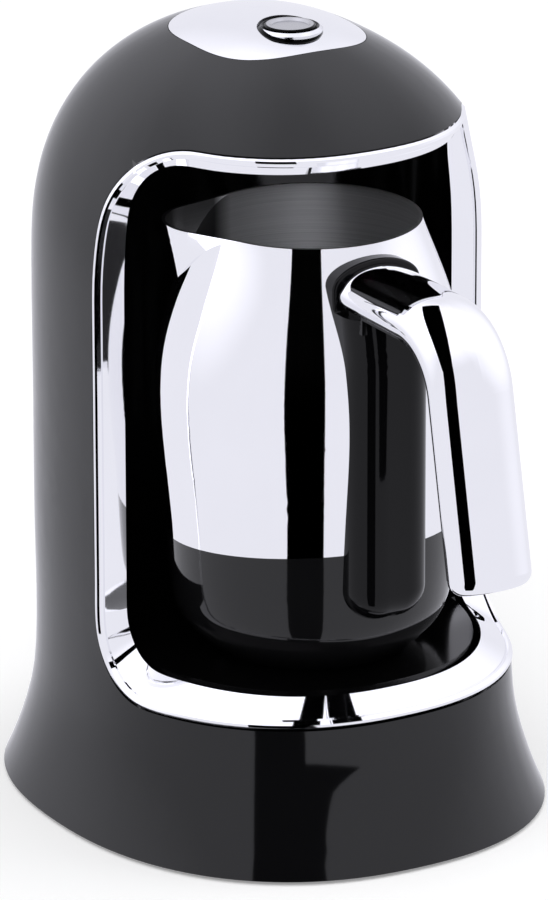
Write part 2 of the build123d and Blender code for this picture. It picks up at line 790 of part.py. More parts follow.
with BuildPart() as plug_blades:
    blade_tip = pot_y + plug_face - blade_reach
    with BuildSketch(Plane.XZ.offset(-blade_tip)):
        with Locations(*blade_places):
            Rectangle(blade_thickness, blade_height)
    extrude(amount=-(niche_y + liner_wall + 11 - blade_tip))
    chamfer(plug_blades.edges().group_by(Axis.Y)[0].filter_by(Axis.Z), 0.4)
plug_blades.part.label = "plug_blades"
export_step(plug_blades.part, "parts/plug_blades.step")

# ---------------------------------------------------------------- the pot's outer form
tilt = radians(joint_slope)


def pot_form(grow=0.0, low=bay_floor + running, high=rim_height):
    """The pot turned about its axis: black heel, belly, shoulder and open rim, moved out by grow."""
    with BuildPart() as form:
        with BuildSketch(Plane.XZ.offset(-pot_y)):
            with BuildLine():
                heel = [(sole_radius + grow, low), (heel_radius + grow, heel_height)]
                Spline(*heel, tangents=((1, 0.85), (0.12, 1)))
                side = [(heel_radius + grow, heel_height), (joint_radius + grow, joint_height),
                        (belly_radius + grow, belly_height),
                        (pot_shoulder_radius + grow, pot_shoulder_height), (rim_radius + grow, high)]
                Spline(*side, tangents=((0.12, 1), (-0.3, 1)))
                Polyline((rim_radius + grow, high), (0, high), (0, low), (sole_radius + grow, low))
            make_face()
        revolve(axis=Axis((0, pot_y, 0), (0, 0, 1)))
    return form.part


def joint_plane(height):
    """The slanted plane where steel meets black: it climbs towards the handle."""
    return Plane((0, pot_y, height), x_dir=(1, 0, 0), z_dir=(0, sin(tilt), cos(tilt)))


def spout_form(grow=0.0):
    """The pouring beak: a pinch that grows out of the shoulder and is sharpest at the rim."""
    direction = radians(-90 - spout_turn)
    stations = ((rim_height - spout_drop, spout_root, spout_root_radius, rim_radius * 0.7),
                (rim_height, spout_reach, spout_lip_radius, rim_radius - spout_blend))
    with BuildPart() as form:
        for height, reach, nose_radius, back_radius in stations:
            nose_at = reach - nose_radius
            with BuildSketch(Plane.XY.offset(height)):
                with Locations((nose_at * cos(direction), pot_y + nose_at * sin(direction))):
                    Circle(nose_radius + grow)
                with Locations((0, pot_y)):
                    Circle(back_radius + grow)
                make_hull()
        loft(ruled=True)
    return form.part


# ---------------------------------------------------------------- steel pot
with BuildPart() as pot_body:
    # above the joint the steel is the outer surface, below it steps inside the black housing
    add(pot_form())
    split(bisect_by=joint_plane(joint_height), keep=Keep.TOP)
    add(spout_form())
    with BuildPart(mode=Mode.PRIVATE) as bowl:
        add(pot_form(grow=-(housing_wall + slip)))
        split(bisect_by=joint_plane(joint_height), keep=Keep.BOTTOM)
        split(bisect_by=Plane.XY.offset(pot_floor - sheet), keep=Keep.TOP)
    add(bowl.part)
    # inside
    with BuildPart(mode=Mode.PRIVATE) as hollow:
        add(pot_form(grow=-sheet))
        split(bisect_by=Plane.XY.offset(joint_height + steel_lap), keep=Keep.TOP)
        add(spout_form(grow=-sheet))
    add(hollow.part, mode=Mode.SUBTRACT)
    with BuildPart(mode=Mode.PRIVATE) as well:
        add(pot_form(grow=-(housing_wall + slip + sheet)))
        split(bisect_by=Plane.XY.offset(joint_height + steel_lap), keep=Keep.BOTTOM)
        split(bisect_by=Plane.XY.offset(pot_floor), keep=Keep.TOP)
    add(well.part, mode=Mode.SUBTRACT)
    # studs under the floor that take the housing screws
    with BuildSketch(Plane.XY.offset(pot_floor - sheet)):
        with Locations((0, pot_y)):
            with PolarLocations(stud_circle, 3, start_angle=-90):
                Circle(3)
    extrude(amount=-stud_length)
    with BuildSketch(Plane.XY.offset(pot_floor - sheet - stud_length)):
        with Locations((0, pot_y)):
            with PolarLocations(stud_circle, 3, start_angle=-90):
                Circle(screw_radius + hair)
    extrude(amount=stud_length - 0.5, mode=Mode.SUBTRACT)
pot_body.part.label = "pot_body"
export_step(pot_body.part, "parts/pot_body.step")

# ---------------------------------------------------------------- black housing under the pot
bowl_bottom = pot_floor - sheet
stud_foot = bowl_bottom - stud_length
sole = bay_floor + running
housing_floor = sole + housing_bottom
head_seat = stud_foot - 8
stud_places = [(stud_circle * cos(radians(angle)), pot_y + stud_circle * sin(radians(angle)))
               for angle in (-90, 30, 150)]
socket_y = pot_y + socket_face
with BuildPart() as pot_base:
    add(pot_form())
    split(bisect_by=joint_plane(joint_height - hair), keep=Keep.BOTTOM)
    with BuildPart(mode=Mode.PRIVATE) as housing_room:
        add(pot_form(grow=-housing_wall))
        split(bisect_by=Plane.XY.offset(housing_floor), keep=Keep.TOP)
    add(housing_room.part, mode=Mode.SUBTRACT)
    # towers under the studs, with the screws let in from below
    with BuildSketch(Plane.XY.offset(housing_floor - 0.5)):
        with Locations(*stud_places):
            Circle(tower_radius)
    extrude(amount=stud_foot - housing_floor + 0.5)
    with BuildSketch(Plane.XY.offset(sole)):
        with Locations(*stud_places):
            Circle(screw_head_radius + slip)
    extrude(amount=head_seat - sole, mode=Mode.SUBTRACT)
    with BuildSketch(Plane.XY.offset(sole)):
        with Locations(*stud_places):
            Circle(screw_radius + hair)
    extrude(amount=stud_foot - sole, mode=Mode.SUBTRACT)
    # rear window for the socket, and the shelf it rests on
    with BuildSketch(Plane.XZ.offset(-(socket_y - socket_depth))):
        with Locations((0, coupling_height)):
            Rectangle(2 * (coupling_half_width - seam), 2 * (coupling_half_height - seam))
    extrude(amount=-2 * socket_depth, mode=Mode.SUBTRACT)
    shelf_top = coupling_height - coupling_half_height + seam
    with BuildSketch(Plane.XY.offset(housing_floor - 0.5)):
        with Locations((0, socket_y - socket_depth)):
            Rectangle(2 * coupling_half_width - 6, 4, align=(Align.CENTER, Align.MIN))
    extrude(amount=shelf_top - housing_floor + 0.5)
pot_base.part.label = "pot_base"
export_step(pot_base.part, "parts/pot_base.step")

screws("pot_base_screws", Plane.XY.offset(head_seat), stud_places, stud_foot - head_seat + 3)

# ---------------------------------------------------------------- heater under the pot's floor
plate_face = bowl_bottom - heater_plate
with BuildPart() as heating_plate:
    with BuildSketch(Plane.XY.offset(plate_face)):
        with Locations((0, pot_y)):
            Circle(heater_radius)
    extrude(amount=heater_plate)
heating_plate.part.label = "heating_plate"
export_step(heating_plate.part, "parts/heating_plate.step")

with BuildPart() as heating_element:
    # a tubular ring pressed flat against the plate, with two cold ends that stand down
    with BuildSketch(Plane.XY.offset(plate_face - 2 * element_radius)):
        with Locations((0, pot_y)):
            Circle(element_ring + element_radius)
            Circle(element_ring - element_radius, mode=Mode.SUBTRACT)
    extrude(amount=2 * element_radius)
    fillet(heating_element.edges().filter_by(GeomType.CIRCLE).group_by(Axis.Z)[0], element_radius * 0.7)
    with BuildSketch(Plane.XY.offset(plate_face - element_radius)):
        with Locations((-6, pot_y + element_ring), (6, pot_y + element_ring)):
            Circle(1.6)
    extrude(amount=-element_radius - 4)
heating_element.part.label = "heating_element"
export_step(heating_element.part, "parts/heating_element.step")

with BuildPart() as thermostat:
    with BuildSketch(Plane.XY.offset(plate_face)):
        with Locations((0, pot_y)):
            Circle(8)
    extrude(amount=-6)
    with BuildSketch(Plane.XY.offset(plate_face - 6)):
        with Locations((-5, pot_y), (5, pot_y)):
            Rectangle(0.8, 5)
    extrude(amount=-6)
thermostat.part.label = "thermostat"
export_step(thermostat.part, "parts/thermostat.step")

# ---------------------------------------------------------------- coupling, pot side
slot_half = blade_thickness / 2 + slip + clip_sheet
slot_height = blade_height + 2 * seam
clip_bottom = socket_y - socket_depth + 1
with BuildPart() as pot_socket:
    with BuildSketch(Plane.XZ.offset(-(socket_y - socket_depth))):
        with Locations((0, coupling_height)):
            Rectangle(2 * (coupling_half_width - seam), 2 * (coupling_half_height - seam))
    extrude(amount=-socket_depth)
    fillet(pot_socket.edges().group_by(Axis.Y)[-1], 0.6)
    with BuildSketch(Plane.XZ.offset(-clip_bottom)):
        with Locations(*blade_places):
            Rectangle(2 * slot_half, slot_height)
    extrude(amount=-socket_depth, mode=Mode.SUBTRACT)
pot_socket.part.label = "pot_socket"
export_step(pot_socket.part, "parts/pot_socket.step")

with BuildPart() as contact_clips:
    # one U-shaped clip in every slot, closed at the inner end
    with BuildSketch(Plane.XY.offset(coupling_height - blade_height / 2)):
        for place in blade_places:
            with Locations((place[0], clip_bottom)):
                Rectangle(2 * slot_half, clip_length, align=(Align.CENTER, Align.MIN))
            with Locations((place[0], clip_bottom + clip_sheet)):
                Rectangle(2 * (slot_half - clip_sheet), clip_length, align=(Align.CENTER, Align.MIN),
                          mode=Mode.SUBTRACT)
    extrude(amount=blade_height)
contact_clips.part.label = "contact_clips"
export_step(contact_clips.part, "parts/contact_clips.step")


# ---------------------------------------------------------------- handle
def grip_section(width, low, high, crown, corner):
    """Cross-section of the handle, y outwards: flat inside, half an ellipse outside."""
    with BuildSketch() as section:
        with Locations((0, high - crown)):
            Ellipse(width / 2, crown)
            Rectangle(width, crown, align=(Align.CENTER, Align.MIN), mode=Mode.INTERSECT)
            Rectangle(width, high - crown - low, align=(Align.CENTER, Align.MAX))
        if corner:
            fillet(section.vertices().group_by(Axis.Y)[0], corner)
    return section.sketch


def along_handle(start, end_cut, low, high, width, crown, corner=0.0):
    """A bar along the handle's middle line: level arm, bend, leaning grip."""
    with BuildPart() as bar:
        with BuildLine(Plane.YZ) as middle:
            arm = Line((pot_y - start, arm_height), (pot_y - arm_length, arm_height))
            bend = JernArc(start=arm @ 1, tangent=arm % 1, radius=bend_radius, arc_size=90 - grip_lean)
            Line(bend @ 1, bend @ 1 + (bend % 1) * (grip_length - end_cut))
        with BuildSketch(Plane((0, pot_y - start, arm_height), x_dir=(1, 0, 0), z_dir=(0, -1, 0))):
            add(grip_section(width, low, high, crown, corner))
        sweep(path=middle.wire())
        if corner:
            fillet(bar.faces().sort_by(Axis.Z)[0].edges(), grip_end_radius)
    return bar.part


half_grip = handle_thickness / 2
channel_top = half_grip - cover_wall
with BuildPart() as handle_cover:
    add(along_handle(arm_start, 0, -half_grip, half_grip, handle_width, handle_crown, handle_corner))
    add(along_handle(arm_start - 5, grip_end_radius + seam, -half_grip - 5, channel_top,
                     handle_width - 2 * cover_wall, handle_crown - cover_wall), mode=Mode.SUBTRACT)
handle_cover.part.label = "handle_cover"
export_step(handle_cover.part, "parts/handle_cover.step")

strap_out = pot_y - spine_reach + 3
with BuildPart() as handle_bracket:
    # steel strap inside the spine, with two tabs and a screw lug welded to the pot
    with BuildSketch(Plane.YZ):
        with Locations((strap_out, strap_low)):
            Rectangle(strap_sheet, strap_high - strap_low, align=(Align.MIN, Align.MIN))
        for height, size in ((strap_low, lug_height), (belly_height, strap_tab_height)):
            with Locations((strap_out, height)):
                Rectangle(20, size, align=(Align.MIN, Align.MIN))
    extrude(amount=strap_width / 2, both=True)
    add(pot_form(), mode=Mode.SUBTRACT)
    with BuildSketch(Plane.XY.offset(strap_low)):
        with Locations((0, pot_y - handle_screw_reach)):
            Circle(screw_radius + hair)
    extrude(amount=lug_height, mode=Mode.SUBTRACT)
handle_bracket.part.label = "handle_bracket"
export_step(handle_bracket.part, "parts/handle_bracket.step")


def spine_outline():
    """Front view of the spine: round foot, straight sides that widen into the collar, round top."""
    half_spine, half_collar = spine_width / 2, collar_width / 2
    with BuildSketch() as outline:
        with BuildLine():
            foot = Polyline((0, spine_foot), (half_spine, spine_foot), (half_spine, spine_top - spine_waist))
            Spline(foot @ 1, (half_collar, arm_height), tangents=((0, 1), (0, 1)))
            EllipticalCenterArc((0, arm_height), half_collar, handle_thickness / 2 + collar_rim,
                                arc_size=90)
            mirror(about=Plane.YZ)
        make_face()
        foot_corners = outline.vertices().group_by(Axis.Y)[0].sort_by(Axis.X)
        fillet([foot_corners[0], foot_corners[-1]], foot_round)
    return outline.sketch


with BuildPart() as handle_frame:
    # spine down the front of the pot, up to the arm
    with BuildSketch(Plane.XZ.offset(spine_reach - pot_y)):
        add(spine_outline())
        with Locations((0, spine_top)):
            Rectangle(far, far, align=(Align.CENTER, Align.MAX), mode=Mode.INTERSECT)
    extrude(amount=-spine_reach)
    front_edges = handle_frame.faces().sort_by(Axis.Y)[0].edges().sort_by(Axis.Z)
    fillet(front_edges[:-1], spine_round)
    # collar round the root of the arm
    with BuildSketch(Plane.XZ.offset(arm_start - seam - pot_y)):
        add(spine_outline())
        with Locations((0, spine_top - spine_waist)):
            Rectangle(far, far, align=(Align.CENTER, Align.MIN), mode=Mode.INTERSECT)
    extrude(amount=seam - arm_start)
    fillet(handle_frame.faces().filter_by(Axis.Y).sort_by(Axis.Z)[-1].edges(), collar_edge)
    # neck and core that fill the bright cover
    core_width = handle_width - 2 * (cover_wall + slip)
    with BuildSketch(Plane.XY.offset(spine_top - 5)):
        with Locations((0, pot_y - arm_start + 1)):
            Rectangle(core_width, spine_reach - arm_start - 1, align=(Align.CENTER, Align.MAX))
    extrude(amount=8)
    add(along_handle(arm_start - 5, grip_end_radius + seam + slip, core_face - half_grip,
                     channel_top - slip, core_width, handle_crown - cover_wall - slip))
    add(pot_form(grow=snug), mode=Mode.SUBTRACT)
    # channel for the strap, and the screw that comes up from the foot
    with BuildSketch(Plane.XY.offset(strap_low - slip)):
        with Locations((0, strap_out - slip)):
            Rectangle(strap_width + 2 * slip, spine_reach - 20, align=(Align.CENTER, Align.MIN))
    extrude(amount=strap_high - strap_low + 2 * slip, mode=Mode.SUBTRACT)
    with BuildSketch(Plane.XY.offset(spine_foot)):
        with Locations((0, pot_y - handle_screw_reach)):
            Circle(screw_head_radius + slip)
    extrude(amount=handle_screw_seat - spine_foot, mode=Mode.SUBTRACT)
    with BuildSketch(Plane.XY.offset(spine_foot)):
        with Locations((0, pot_y - handle_screw_reach)):
            Circle(screw_radius + hair)
    extrude(amount=strap_low - spine_foot, mode=Mode.SUBTRACT)
handle_frame.part.label = "handle_frame"
export_step(handle_frame.part, "parts/handle_frame.step")

screws("handle_screw", Plane.XY.offset(handle_screw_seat), [(0, pot_y - handle_screw_reach)],
       strap_low - handle_screw_seat + lug_height - 1)
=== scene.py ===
# %% [markdown]
# # An electric Turkish coffee maker, dressed and lit
# The maker is a black glossy stand with a domed crown and a flared skirt.  A bright frame runs round
# a black bay, and a mirror-polished electric pot with a bowed handle stands in it.
# The parts already exist with their true shapes, so this script loads them as a fixed frame, sets up
# a studio round them and gives each one its finish.

# %% Load the fixed frame
from math import cos, pi, radians, sin

import bpy
from mathutils import Matrix, Vector


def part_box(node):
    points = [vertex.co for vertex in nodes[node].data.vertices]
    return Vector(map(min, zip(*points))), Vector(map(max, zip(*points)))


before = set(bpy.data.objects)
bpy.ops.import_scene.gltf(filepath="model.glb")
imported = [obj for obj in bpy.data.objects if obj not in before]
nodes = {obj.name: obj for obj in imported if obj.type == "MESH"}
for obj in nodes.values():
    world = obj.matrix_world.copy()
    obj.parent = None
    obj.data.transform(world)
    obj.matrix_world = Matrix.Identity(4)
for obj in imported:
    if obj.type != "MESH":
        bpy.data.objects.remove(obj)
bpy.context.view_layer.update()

# %% [markdown]
# ## The camera
# A product shot of a tall thing is taken from far away with a long lens, so that upright lines stay
# upright.  The camera stands 2.6 m off, a little to the left of the front and 19 degrees up.
# Its direction is built from two angles, and the matrix holds its right, up and backward directions.

# %% Place the camera
view_turn = radians(-30)
view_rise = radians(19.25)
view_roll = radians(-0.09)
look_at = Vector((-0.0113, 0.00595, 0.13469))
distance = 2.6
sensor_mm = 36
lens_mm = 290.6

back = Vector((sin(view_turn) * cos(view_rise), -cos(view_turn) * cos(view_rise), sin(view_rise)))
level = Vector((cos(view_turn), sin(view_turn), 0))
upright = back.cross(level)
right = level * cos(view_roll) + upright * sin(view_roll)
up = upright * cos(view_roll) - level * sin(view_roll)

camera = bpy.data.objects.new("studio_camera", bpy.data.cameras.new("studio_camera"))
bpy.context.scene.collection.objects.link(camera)
camera.data.sensor_width = sensor_mm
camera.data.lens = lens_mm
camera.data.clip_end = 50
camera.matrix_world = Matrix.Translation(look_at + distance * back) @ Matrix(
    (right, up, back)).transposed().to_4x4()
bpy.context.scene.camera = camera
bpy.context.scene.view_settings.view_transform = "Standard"
print("camera at", [round(v, 3) for v in camera.location], "lens", camera.data.lens)

# %% [markdown]
# ## The studio
# Black gloss and chrome show the room more than themselves, so the room is white all round.  Light
# Path tells the world what is looking at it: the eye sees pure white, a mirror sees a faintly blue
# white, and a matt surface gets a little less, so that nothing clips.

# %% The world's three whites
world = bpy.data.worlds.new("studio")
bpy.context.scene.world = world
world.use_nodes = True
world_tree = world.node_tree
world_tree.nodes.clear()
link = world_tree.links.new


def white(colour):
    """A light that the world can send."""
    node = world_tree.nodes.new("ShaderNodeBackground")
    node.inputs["Color"].default_value = (*colour, 1)
    return node


seen = white((1, 1, 1))
mirrored = white((0.86, 0.86, 0.93))
soft = white((0.72, 0.72, 0.73))

path = world_tree.nodes.new("ShaderNodeLightPath")
see_through = world_tree.nodes.new("ShaderNodeMath")
see_through.operation = "MAXIMUM"
link(path.outputs["Is Camera Ray"], see_through.inputs[0])
link(path.outputs["Is Transmission Ray"], see_through.inputs[1])
matt_or_mirror = world_tree.nodes.new("ShaderNodeMixShader")
link(path.outputs["Is Glossy Ray"], matt_or_mirror.inputs["Fac"])
link(soft.outputs[0], matt_or_mirror.inputs[1])
link(mirrored.outputs[0], matt_or_mirror.inputs[2])
or_eye = world_tree.nodes.new("ShaderNodeMixShader")
link(see_through.outputs[0], or_eye.inputs["Fac"])
link(matt_or_mirror.outputs[0], or_eye.inputs[1])
link(seen.outputs[0], or_eye.inputs[2])
output = world_tree.nodes.new("ShaderNodeOutputWorld")
link(or_eye.outputs[0], output.inputs["Surface"])
print("world nodes", len(world_tree.nodes))

# %% [markdown]
# ## Softboxes without edges
# Large softboxes put the long highlights on the dome and on the shell's side.  A real softbox has
# hard edges that chrome would show, so each one here is a round patch of the world that fades out.
# The dot product of the ray and the patch's direction says how far the ray is from its middle.

# %% Three soft patches in what a mirror sees
softboxes = {                           # degrees: right of the lens, up, outer and inner radius; gain
    "overhead": (0, 88, 52, 22, 0.32),
    "right": (114, 32, 50, 12, 0.3),
    "left": (-102, 42, 56, 16, 0.4),
}
heading = world_tree.nodes.new("ShaderNodeTexCoord")
plain = world_tree.nodes.new("ShaderNodeValue")
plain.outputs[0].default_value = 1


def soft_patch(turn, elevation, outer, inner, gain, strength):
    """Add a patch to the strength so far; the angles are in degrees."""
    azimuth = view_turn + radians(turn)
    height = radians(elevation)
    nearness = world_tree.nodes.new("ShaderNodeVectorMath")
    nearness.operation = "DOT_PRODUCT"
    nearness.inputs[1].default_value = (sin(azimuth) * cos(height), -cos(azimuth) * cos(height),
                                        sin(height))
    link(heading.outputs["Generated"], nearness.inputs[0])
    fade = world_tree.nodes.new("ShaderNodeMapRange")
    fade.interpolation_type = "SMOOTHSTEP"
    fade.inputs["From Min"].default_value = cos(radians(outer))
    fade.inputs["From Max"].default_value = cos(radians(inner))
    fade.inputs["To Max"].default_value = gain
    link(nearness.outputs["Value"], fade.inputs["Value"])
    total = world_tree.nodes.new("ShaderNodeMath")
    total.operation = "ADD"
    link(fade.outputs["Result"], total.inputs[0])
    link(strength, total.inputs[1])
    return total.outputs[0]


strength = plain.outputs[0]
for turn, elevation, outer, inner, gain in softboxes.values():
    strength = soft_patch(turn, elevation, outer, inner, gain, strength)
link(strength, mirrored.inputs["Strength"])
print("softboxes", list(softboxes))

# %% [markdown]
# ## The floor
# The floor is one large sheet of white paper.  It keeps the maker's shadow.  A little glow that only
# the camera sees lifts it to the white of the room, so that no horizon shows, and mirrors don't see
# it at all, which keeps the pot's lower half as bright as its upper half.


# %% A small helper: nothing selected before each new sheet
def clear_selection():
    """Leave edit mode and deselect everything."""
    if bpy.context.object and bpy.context.object.mode != "OBJECT":
        bpy.ops.object.mode_set(mode="OBJECT")
    bpy.ops.object.select_all(action="DESELECT")


clear_selection()
print("selected now", len(bpy.context.selected_objects))

# %% White paper on the floor
paper_glow = 0.24
bpy.ops.mesh.primitive_plane_add(size=16, location=(0, 3, 0))
floor = bpy.context.object
floor.name = "floor"
floor.visible_glossy = False
paper = bpy.data.materials.new("white_paper")
paper.use_nodes = True
paper_tree = paper.node_tree
matt = paper_tree.nodes["Principled BSDF"]
matt.inputs["Base Color"].default_value = (0.9, 0.9, 0.9, 1)
matt.inputs["Roughness"].default_value = 0.9
matt.inputs["Specular IOR Level"].default_value = 0
matt.inputs["Emission Color"].default_value = (1, 1, 1, 1)
paper_path = paper_tree.nodes.new("ShaderNodeLightPath")
glow = paper_tree.nodes.new("ShaderNodeMath")
glow.operation = "MULTIPLY"
glow.inputs[1].default_value = paper_glow
paper_tree.links.new(paper_path.outputs["Is Camera Ray"], glow.inputs[0])
paper_tree.links.new(glow.outputs[0], matt.inputs["Emission Strength"])
floor.data.materials.append(paper)
print("floor", floor.dimensions[:2])

# %% [markdown]
# ## Black flags
# A product photographer hangs black cloth round bright metal to draw dark lines on it.  The flags
# here are black from their front and clear from behind, and only mirrors see them.  A tall one beside
# the lens draws the upright stripe down the pot and the grip, a wedge over the handle carries the
# stripe round its bend, and a wedge before the skirt gives the skirt its own.

# %% Cloth that is black from one side
flag_black = bpy.data.materials.new("flag_black")
flag_black.use_nodes = True
flag_tree = flag_black.node_tree
flag_tree.nodes.clear()
side = flag_tree.nodes.new("ShaderNodeNewGeometry")
dark = flag_tree.nodes.new("ShaderNodeEmission")
dark.inputs["Color"].default_value = (0, 0, 0, 1)
clear = flag_tree.nodes.new("ShaderNodeBsdfTransparent")
by_side = flag_tree.nodes.new("ShaderNodeMixShader")
flag_output = flag_tree.nodes.new("ShaderNodeOutputMaterial")
flag_tree.links.new(side.outputs["Backfacing"], by_side.inputs["Fac"])
flag_tree.links.new(dark.outputs[0], by_side.inputs[1])
flag_tree.links.new(clear.outputs[0], by_side.inputs[2])
flag_tree.links.new(by_side.outputs[0], flag_output.inputs["Surface"])


def hang(flag):
    """Make a sheet a flag: black cloth that only mirrors see."""
    flag.data.materials.append(flag_black)
    for ray in ("camera", "diffuse", "transmission", "shadow"):
        setattr(flag, "visible_" + ray, False)


print("flag nodes", len(flag_tree.nodes))

# %% The tall flag beside the lens
towards = Vector((sin(view_turn), -cos(view_turn), 0))
rise = Vector((0, 0, 1))
flag_width = 0.84
flag_height = 3.6
flag_place = towards * 1.6 - level * 0.13 - rise * 0.43

clear_selection()
bpy.ops.mesh.primitive_plane_add(size=1)
pot_flag = bpy.context.object
pot_flag.name = "pot_flag"
pot_flag.scale = (flag_width, flag_height, 1)
pot_flag.location = flag_place
pot_flag.rotation_euler = (-towards).to_track_quat("Z", "Y").to_euler()
hang(pot_flag)
print("tall flag at", [round(v, 2) for v in flag_place])


# %% Two wedges of cloth
def wedge(name, near, near_sides, far, far_sides):
    """Hang a cloth between two level edges, each given by a point and its reach left and right."""
    corners = [near + level * near_sides[0], near + level * near_sides[1],
               far + level * far_sides[1], far + level * far_sides[0]]
    mesh = bpy.data.meshes.new(name)
    mesh.from_pydata(corners, [], [(0, 1, 2, 3)])
    sheet = bpy.data.objects.new(name, mesh)
    bpy.context.scene.collection.objects.link(sheet)
    hang(sheet)


over_handle = Vector((0, -0.074, 0.240))
over_lens = towards * 1.58 + rise * 1.1
wedge("handle_cloth", over_handle, (-0.006, 0.008), over_lens, (-0.59, 0.27))

skirt_height = 0.066
skirt_middle = Vector((look_at.x, look_at.y, skirt_height))
before_skirt = skirt_middle + towards * 0.112
under_lens = skirt_middle + towards * 1.5 - rise * 0.25
wedge("skirt_cloth", before_skirt, (-0.030, -0.004), under_lens, (-0.3, 1.27))

# %% [markdown]
# ## Lamps
# A key and a fill lamp shape the matt parts and drop the soft shadow.  Chrome doesn't see them.  Two
# small panels do the opposite: they are seen by mirrors alone.  One stands in the bay, by its left
# wall, and keeps the pot's left side bright where it would mirror the black wall.  One lies over the
# mouth and lights the brushed steel inside.  A panel's watts follow from its size and from how
# bright it should look.


# %% Key and fill, with a helper for every lamp
def area_lamp(name, place, facing, width, height, watts, hidden_from, roll=0.0):
    """Add a rectangular lamp that shines one way and is hidden from some rays."""
    light = bpy.data.objects.new(name, bpy.data.lights.new(name, "AREA"))
    bpy.context.scene.collection.objects.link(light)
    light.data.shape = "RECTANGLE"
    light.data.size, light.data.size_y = width, height
    light.data.energy = watts
    light.location = place
    turn = (-facing).to_track_quat("Z", "Y").to_matrix()
    light.rotation_euler = (Matrix.Rotation(roll, 3, "Z") @ turn).to_euler()
    for ray in hidden_from:
        setattr(light, "visible_" + ray, False)
    return light


lamp_size = 1.6
lit_point = Vector((0, 0, 0.12))
for name, place, watts in (("key_lamp", Vector((-1.4, -1.6, 2.4)), 26),
                           ("fill_lamp", Vector((1.9, -0.7, 1.8)), 12)):
    area_lamp(name, place, lit_point - place, lamp_size, lamp_size, watts, ("glossy",))
print("lamps aim at", lit_point[:])

# %% Lit panels in the bay
panel_colour = (0.925, 0.925, 1)
panels = (                              # name, place, facing, width, height, brightness, roll
    ("bay_panel", (-0.0611, 0.0248, 0.168), (0.942, -0.334, 0), 0.043, 0.166, 0.93, 0),
    ("mouth_panel", (0.002, 0.003, 0.2212), (0, 0, -1), 0.020, 0.052, 4.6, view_turn),
)
for name, place, facing, width, height, brightness, roll in panels:
    watts = pi * width * height * brightness
    panel = area_lamp(name, place, Vector(facing), width, height, watts,
                      ("camera", "diffuse", "transmission"), roll)
    panel.data.color = panel_colour
    print(name, "watts", round(watts, 4))

# %% [markdown]
# ## Finishes
# A moulded or plated surface is never one flat value.  Each finish below starts from a Principled
# shader and lets two noises, laid in the piece's own coordinates, move its roughness and raise a
# very fine ripple.  The ripple's scale is in millimetres, so it stays right at any camera distance.


# %% One helper that builds a finish
def map_range(tree, value, low, high, from_low=0.0, from_high=1.0):
    """Map a number from one range to another, and keep it inside."""
    node = tree.nodes.new("ShaderNodeMapRange")
    node.inputs["From Min"].default_value = from_low
    node.inputs["From Max"].default_value = from_high
    node.inputs["To Min"].default_value = low
    node.inputs["To Max"].default_value = high
    tree.links.new(value, node.inputs["Value"])
    return node.outputs["Result"]


def finish(name, colour, roughness, metallic=0.0, ior=1.5, grain_mm=1.2, relief_mm=0.002, tint=0.06):
    """A finish whose roughness, tone and relief all vary a little over the surface."""
    wander = 0.25                       # share by which the roughness drifts
    drift_scale = 38                    # waves to the metre of the slow drift
    material = bpy.data.materials.new(name)
    material.use_nodes = True
    tree = material.node_tree
    link = tree.links.new
    shader = tree.nodes["Principled BSDF"]
    shader.inputs["Metallic"].default_value = metallic
    shader.inputs["IOR"].default_value = ior
    place = tree.nodes.new("ShaderNodeTexCoord")
    # slow drift in roughness and tone
    drift = tree.nodes.new("ShaderNodeTexNoise")
    drift.inputs["Scale"].default_value = drift_scale
    drift.inputs["Detail"].default_value = 3
    link(place.outputs["Object"], drift.inputs["Vector"])
    link(map_range(tree, drift.outputs["Fac"], roughness * (1 - wander), roughness * (1 + wander)),
         shader.inputs["Roughness"])
    tone = tree.nodes.new("ShaderNodeMix")
    tone.data_type = "RGBA"
    tone.inputs[6].default_value = (*[c * (1 - tint) for c in colour], 1)
    tone.inputs[7].default_value = (*[min(1, c * (1 + tint)) for c in colour], 1)
    link(drift.outputs["Fac"], tone.inputs["Factor"])
    link(tone.outputs[2], shader.inputs["Base Color"])
    # fine relief
    grain = tree.nodes.new("ShaderNodeTexNoise")
    grain.inputs["Scale"].default_value = 1000 / grain_mm
    grain.inputs["Detail"].default_value = 2
    link(place.outputs["Object"], grain.inputs["Vector"])
    relief = tree.nodes.new("ShaderNodeBump")
    relief.inputs["Strength"].default_value = 1
    relief.inputs["Distance"].default_value = relief_mm / 1000
    link(grain.outputs["Fac"], relief.inputs["Height"])
    link(relief.outputs["Normal"], shader.inputs["Normal"])
    return material


print("helper:", finish.__doc__)

# %% [markdown]
# ## Blacks and brights
# The shell, the pot's housing and the handle are gloss mouldings.  Their own colour is nearly black,
# and all that shows on them is the room, so their index of refraction sets how grey they look.  The
# frame, the crown's plate and the handle's cover are plated, and almost as bright as a mirror.

# %% Finishes that are seen
chrome = (0.93, 0.93, 0.95)
black_shell = finish("black_shell", (0.0035, 0.0035, 0.004), 0.07, ior=1.46, grain_mm=3,
                     relief_mm=0.0006)
bay_black = finish("bay_black", (0.0012, 0.0012, 0.0013), 0.12, ior=1.4, relief_mm=0.001)
pot_black = finish("pot_black", (0.0045, 0.0045, 0.005), 0.06, ior=1.47, grain_mm=3, relief_mm=0.0005)
handle_black = finish("handle_black", (0.002, 0.002, 0.0024), 0.06, ior=1.3, grain_mm=3,
                      relief_mm=0.0005)
bright_frame = finish("bright_frame", chrome, 0.035, metallic=1, grain_mm=4, relief_mm=0.0004,
                      tint=0.02)
cap_bright = finish("cap_bright", chrome, 0.06, metallic=1, grain_mm=4, relief_mm=0.0004, tint=0.02)
handle_bright = finish("handle_bright", chrome, 0.03, metallic=1, grain_mm=4, relief_mm=0.0003,
                       tint=0.02)
pot_steel = finish("pot_steel", chrome, 0.035, metallic=1, grain_mm=5, relief_mm=0.0004, tint=0.02)
